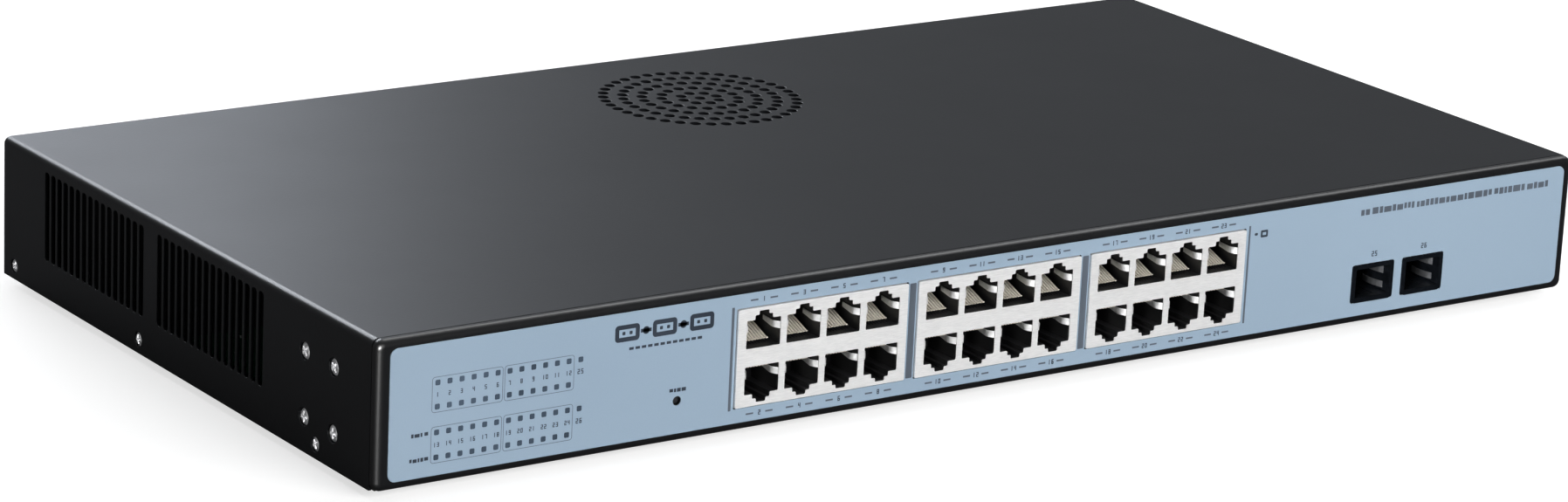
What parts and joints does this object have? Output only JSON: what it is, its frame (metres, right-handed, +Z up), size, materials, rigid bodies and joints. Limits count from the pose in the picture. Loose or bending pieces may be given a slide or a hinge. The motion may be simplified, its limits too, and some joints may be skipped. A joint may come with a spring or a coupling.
{
  "type": "rackmount network switch",
  "caption": "Low rack-width steel box with rows of copper network ports and module slots in a blue front film, side and top vents, mains inlet and rocker behind.",
  "frame": {"origin": "centre of the part's overall box in plan, on the plane the rubber feet stand on", "axes": "+Z up; the port side faces -Y; +X is to the right when looking at the port side"},
  "size_m": [0.44, 0.2352, 0.0465],
  "materials": {
    "casing_paint": "fine satin powder coat, charcoal black",
    "printed_film": "screen-printed pale blue polyester film, satin",
    "foot_rubber": "matt moulded rubber",
    "plated_steel": "zinc-plated, satin",
    "tinned_steel": "bright tin plate",
    "black_plastic": "fine-textured moulding",
    "gold_contacts": "gold-flashed spring contacts",
    "circuit_board": "solder resist over laminate",
    "chip_resin": "moulded epoxy, matt",
    "bare_aluminium": "extruded, brushed",
    "clear_plastic": "clear polycarbonate",
    "transformer_tape": "wound tape over ferrite",
    "capacitor_sleeve": "shrink sleeve",
    "copper_winding": "enamelled copper wire",
    "cable_sleeve": "braided or extruded cable sleeve"
  },
  "bodies": {
    "casing": {"chassis_tray": "casing_paint", "top_cover": "casing_paint", "front_overlay": "printed_film", "rubber_foot_1": "foot_rubber", "rubber_foot_2": "foot_rubber", "rubber_foot_3": "foot_rubber", "rubber_foot_4": "foot_rubber", "cover_screw_left_1": "plated_steel", "cover_screw_left_2": "plated_steel", "cover_screw_left_3": "plated_steel", "cover_screw_right_1": "plated_steel", "cover_screw_right_2": "plated_steel", "cover_screw_right_3": "plated_steel", "ear_screw_left_1": "plated_steel", "ear_screw_left_2": "plated_steel", "ear_screw_left_3": "plated_steel", "ear_screw_left_4": "plated_steel", "ear_screw_right_1": "plated_steel", "ear_screw_right_2": "plated_steel", "ear_screw_right_3": "plated_steel", "ear_screw_right_4": "plated_steel", "ground_screw": "plated_steel", "main_board": "circuit_board", "switch_chip": "chip_resin", "phy_chip_1": "chip_resin", "phy_chip_2": "chip_resin", "chip_heatsink": "bare_aluminium", "jack_shield_1": "tinned_steel", "jack_housing_1": "black_plastic", "jack_contacts_1": "gold_contacts", "jack_shield_2": "tinned_steel", "jack_housing_2": "black_plastic", "jack_contacts_2": "gold_contacts", "jack_shield_3": "tinned_steel", "jack_housing_3": "black_plastic", "jack_contacts_3": "gold_contacts", "module_cage_1": "tinned_steel", "module_connector_1": "black_plastic", "module_cage_2": "tinned_steel", "module_connector_2": "black_plastic", "led_light_guide": "clear_plastic", "reset_switch_body": "black_plastic", "psu_board": "circuit_board", "psu_transformer": "transformer_tape", "psu_capacitor": "capacitor_sleeve", "psu_heatsink": "bare_aluminium", "emi_choke": "copper_winding", "fan_frame": "black_plastic", "fan_nut_1": "plated_steel", "fan_nut_2": "plated_steel", "fan_nut_3": "plated_steel", "fan_nut_4": "plated_steel", "power_inlet": "black_plastic", "rocker_frame": "black_plastic", "mains_harness": "cable_sleeve", "board_power_harness": "cable_sleeve", "fan_cable": "cable_sleeve"},
    "fan_rotor": {"fan_rotor": "black_plastic"},
    "reset_button": {"reset_button": "black_plastic"},
    "power_rocker": {"power_rocker": "black_plastic"}
  },
  "joints": [
    {"name": "fan_spin", "type": "hinge", "parent": "casing", "child": "fan_rotor", "pos_m": [0.0025, 0.06131, 0.0375], "axis": [0, 0, 1], "continuous": true},
    {"name": "reset_press", "type": "slide", "parent": "casing", "child": "reset_button", "axis": [0, 1, 0], "range_m": [0, 0.0005]},
    {"name": "rocker_tilt", "type": "hinge", "parent": "casing", "child": "power_rocker", "pos_m": [0.131, 0.11061, 0.0245], "axis": [1, 0, 0], "range_deg": [-18, 0]}
  ]
}
